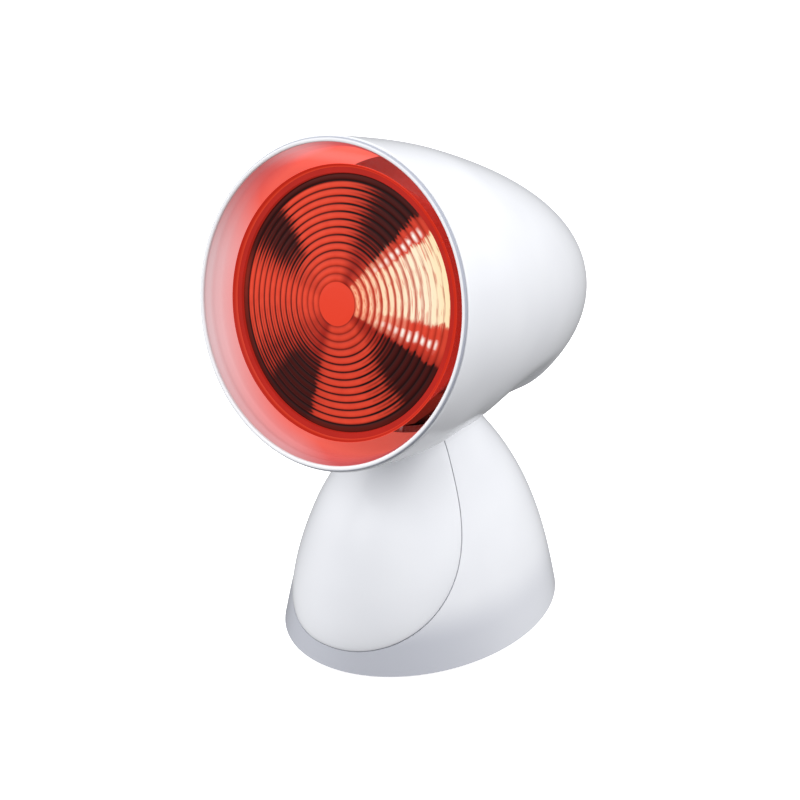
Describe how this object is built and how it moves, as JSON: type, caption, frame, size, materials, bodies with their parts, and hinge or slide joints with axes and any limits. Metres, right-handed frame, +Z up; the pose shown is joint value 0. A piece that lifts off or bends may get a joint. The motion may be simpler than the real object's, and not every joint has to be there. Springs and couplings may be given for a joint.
{
  "type": "infrared heat therapy lamp",
  "caption": "Table heat lamp: an egg-shaped white shade with a red infrared reflector bulb tilts by clicks on a weighted, domed stand with a rocker switch behind.",
  "frame": {"origin": "on the table, under the middle of the whole lamp's box at rest", "axes": "+Z up; the lamp shines towards -Y; X is across, along the tilt hinge"},
  "size_m": [0.1456, 0.1928, 0.2506],
  "materials": {
    "white_abs": "glossy moulded white ABS",
    "shield_white": "white heat-resistant enamel on thin metal",
    "lens_red": "ruby-red pressed glass",
    "bowl_red": "ruby glass with a mirrored inside",
    "clear_glass": "clear glass",
    "tungsten": "drawn tungsten wire",
    "brass": "nickel-free brass",
    "contact_black": "black insulator with a tinned tip",
    "porcelain": "glazed porcelain",
    "bracket_steel": "zinc-plated steel",
    "hinge_nylon": "glass-filled nylon",
    "iron": "as cast",
    "rubber": "soft grey-black rubber",
    "bush_grey": "grey moulded bush",
    "plate_black": "matt black moulding",
    "fibre": "vulcanised fibre",
    "block_nylon": "natural nylon"
  },
  "bodies": {
    "stand": {"base_shell": "white_abs", "front_panel": "white_abs", "base_plate": "plate_black", "ballast_weight": "iron", "rubber_foot_1": "rubber", "rubber_foot_2": "rubber", "rubber_foot_3": "rubber", "rubber_foot_4": "rubber", "base_screw_1": "bracket_steel", "base_screw_2": "bracket_steel", "base_screw_3": "bracket_steel", "base_screw_4": "bracket_steel", "stack_bolt_1": "bracket_steel", "stack_bolt_2": "bracket_steel", "stack_nut_1": "bracket_steel", "stack_nut_2": "bracket_steel", "hinge_yoke": "bracket_steel", "hinge_pin": "bracket_steel", "hinge_nut": "bracket_steel", "friction_washer_left": "fibre", "friction_washer_right": "fibre", "detent_plunger": "bracket_steel", "switch_housing": "plate_black", "switch_blade_line": "brass", "switch_blade_load": "brass", "cord_inlet_bush": "bush_grey", "terminal_block": "block_nylon"},
    "shade": {"head_shell": "white_abs", "inner_shade": "shield_white", "rear_vent_cap": "white_abs", "bulb_lens": "lens_red", "bulb_reflector": "bowl_red", "bulb_stem": "clear_glass", "bulb_filament": "tungsten", "bulb_cap": "brass", "bulb_contact": "contact_black", "lampholder_body": "porcelain", "lampholder_thread": "brass", "lampholder_contact": "brass", "lamp_bracket": "bracket_steel", "hinge_leg": "hinge_nylon", "shell_screw_1": "bracket_steel", "shell_screw_2": "bracket_steel", "shell_screw_3": "bracket_steel", "shell_screw_4": "bracket_steel", "bracket_screw_1": "bracket_steel", "bracket_screw_2": "bracket_steel", "holder_screw_1": "bracket_steel", "holder_screw_2": "bracket_steel"},
    "rocker": {"switch_rocker": "plate_black"}
  },
  "joints": [
    {"name": "shade_tilt", "type": "hinge", "parent": "stand", "child": "shade", "pos_m": [0, -0.00774, 0.06], "axis": [-1, 0, 0], "range_deg": [-18, 6]},
    {"name": "switch_rock", "type": "hinge", "parent": "stand", "child": "rocker", "pos_m": [0, 0.05528, 0.03595], "axis": [1, 0, 0], "range_deg": [0, 20]}
  ]
}
